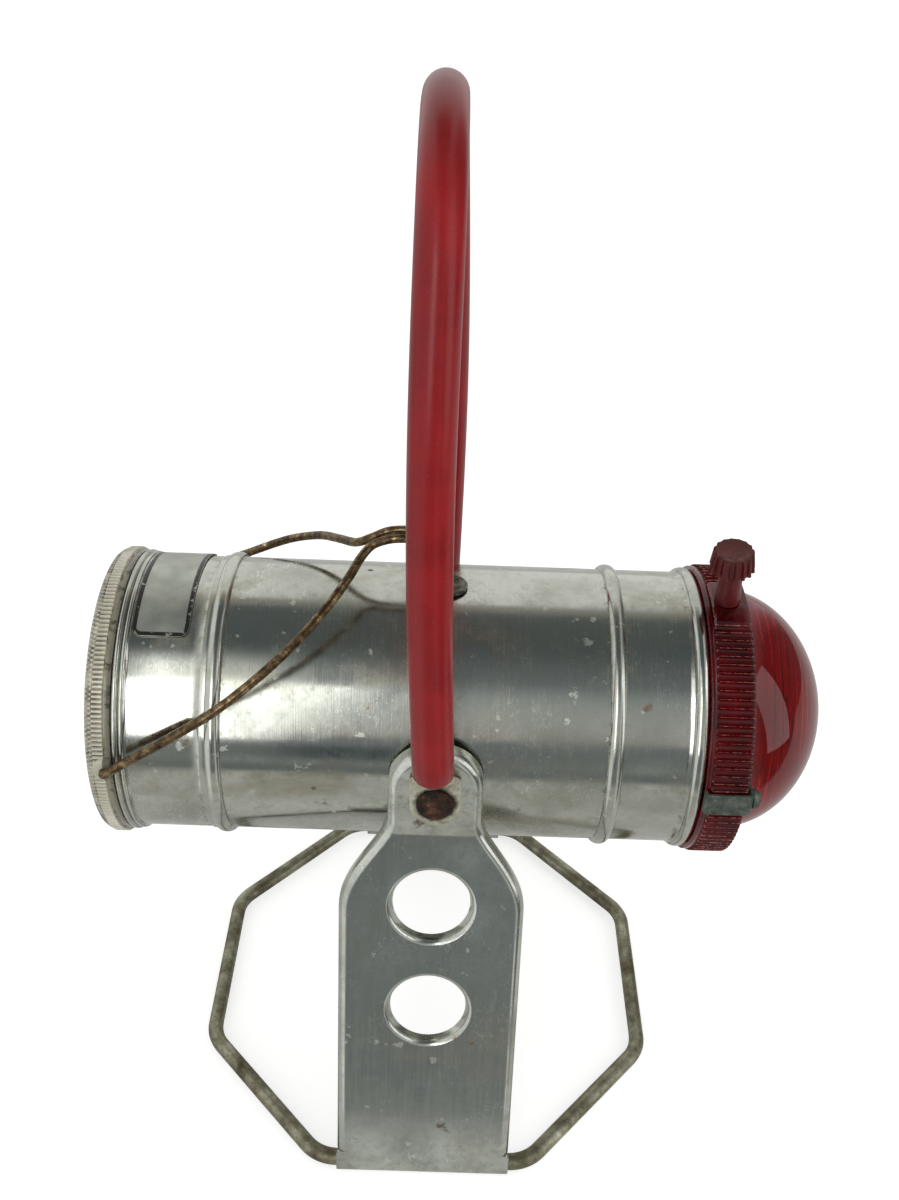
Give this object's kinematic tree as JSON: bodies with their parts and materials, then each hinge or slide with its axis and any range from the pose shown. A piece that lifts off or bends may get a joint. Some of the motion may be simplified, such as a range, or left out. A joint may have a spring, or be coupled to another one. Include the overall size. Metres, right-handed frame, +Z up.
{
  "type": "emergency flashing lantern",
  "caption": "Battery lantern with a clear beam lens, a red flashing dome, a swinging handle and a splayed sheet stand on a wire ring.",
  "frame": {"origin": "on the surface the stand rests on, under the middle of the lantern's length and width", "axes": "+Z up; +X along the tube towards the red dome; -Y towards the front stand plate"},
  "size_m": [0.2628, 0.1906, 0.3873],
  "materials": {
    "aluminium": "polished, hazy and scratched",
    "bright_aluminium": "bright spun",
    "label_plate": "satin with a dark border",
    "plated_wire": "worn zinc plating with rust",
    "rusty_steel": "rusted",
    "dark_wire": "browned with rust",
    "grey_zinc": "dull zinc",
    "spring_steel": "bright",
    "brass": "satin",
    "red_plastic": "glossy translucent moulding",
    "clear_plastic": "clouded clear moulding",
    "red_knob": "dull and worn",
    "red_vinyl": "satin vinyl",
    "dark_plug": "satin",
    "fibre": "plain",
    "cardboard": "plain",
    "battery_jacket": "plain",
    "bulb_glass": "clear"
  },
  "bodies": {
    "stand": {"base_ring": "plated_wire", "front_stand_plate": "aluminium", "front_pivot_rivet": "rusty_steel", "front_pivot_spacer": "plated_wire", "rear_stand_plate": "aluminium", "rear_pivot_rivet": "rusty_steel", "rear_pivot_spacer": "plated_wire"},
    "lamp": {"lamp_tube": "aluminium", "top_plug": "dark_plug", "label_plate": "label_plate", "clear_lens_cap": "clear_plastic", "beam_reflector": "bright_aluminium", "beam_bulb_socket": "fibre", "beam_bulb_base": "brass", "beam_bulb_glass": "bulb_glass", "contact_board": "fibre", "battery": "battery_jacket", "battery_centre_terminal": "spring_steel", "centre_contact": "brass", "battery_corner_terminal": "spring_steel", "corner_contact": "brass", "battery_liner": "cardboard", "battery_bow_spring": "spring_steel", "flasher_plate": "bright_aluminium", "flasher_bulb_socket": "fibre", "flasher_bulb_base": "brass", "flasher_bulb_glass": "bulb_glass", "switch_blade": "brass", "red_lens_ring": "red_plastic", "red_dome_lens": "red_plastic", "ring_clip": "grey_zinc", "clip_screw": "grey_zinc"},
    "switch": {"switch_knob": "red_knob", "switch_cam": "brass"},
    "hanger": {"hanger_wire": "dark_wire"},
    "handle": {"handle_rod": "plated_wire", "handle_sleeve": "red_vinyl"}
  },
  "joints": [
    {"name": "lamp_tilt", "type": "hinge", "parent": "stand", "child": "lamp", "pos_m": [-0.0112, 0, 0.167], "axis": [0, 1, 0], "range_deg": [-90, 90]},
    {"name": "handle_swing", "type": "hinge", "parent": "stand", "child": "handle", "pos_m": [-0.0112, 0, 0.167], "axis": [0, 1, 0], "range_deg": [-100, 100]},
    {"name": "hanger_swing", "type": "hinge", "parent": "lamp", "child": "hanger", "pos_m": [-0.1244, 0, 0.1703], "axis": [0, -1, 0], "range_deg": [-4, 200]},
    {"name": "switch_turn", "type": "hinge", "parent": "lamp", "child": "switch", "pos_m": [0.089, -0.00723, 0.21822], "axis": [-0.075, -0.1319, 0.9884], "range_deg": [0, 270]}
  ]
}
